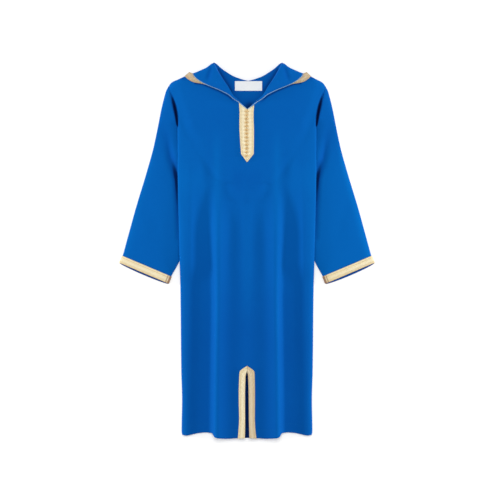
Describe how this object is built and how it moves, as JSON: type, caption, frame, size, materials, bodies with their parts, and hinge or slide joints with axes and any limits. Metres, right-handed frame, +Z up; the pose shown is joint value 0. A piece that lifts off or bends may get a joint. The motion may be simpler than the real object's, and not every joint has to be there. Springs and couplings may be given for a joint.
{
  "type": "djellaba",
  "caption": "Child's hooded djellaba laid flat: blue crepe body and long sleeves, turned-back hood, braid along the buttoned neck slit, cuffs and hem slit.",
  "frame": {"origin": "middle of the garment's outline, on the surface it lies on", "axes": "+X across the garment towards the sleeve on the right as seen, +Y towards the neck, +Z up off the surface"},
  "size_m": [0.6398, 0.9399, 0.0253],
  "materials": {
    "crepe": "matt crepe with a soft sheen",
    "braid": "flat woven braid in cream and gold thread",
    "knot": "corded gold thread",
    "label": "plain white woven tape"
  },
  "bodies": {
    "root": {"front": "crepe", "back": "crepe", "hood_fold": "crepe", "neck_label": "label", "sleeve_left": "crepe", "hood_left": "crepe", "hood_braid_left": "braid", "cuff_braid_left": "braid", "placket_braid_left": "braid", "slit_braid_left": "braid", "sleeve_right": "crepe", "hood_right": "crepe", "hood_braid_right": "braid", "cuff_braid_right": "braid", "placket_braid_right": "braid", "slit_braid_right": "braid", "knot_01": "knot", "knot_02": "knot", "knot_03": "knot", "knot_04": "knot", "knot_05": "knot", "knot_06": "knot", "knot_07": "knot", "knot_08": "knot", "knot_09": "knot", "knot_10": "knot", "knot_11": "knot", "knot_12": "knot", "knot_13": "knot"}
  },
  "joints": []
}
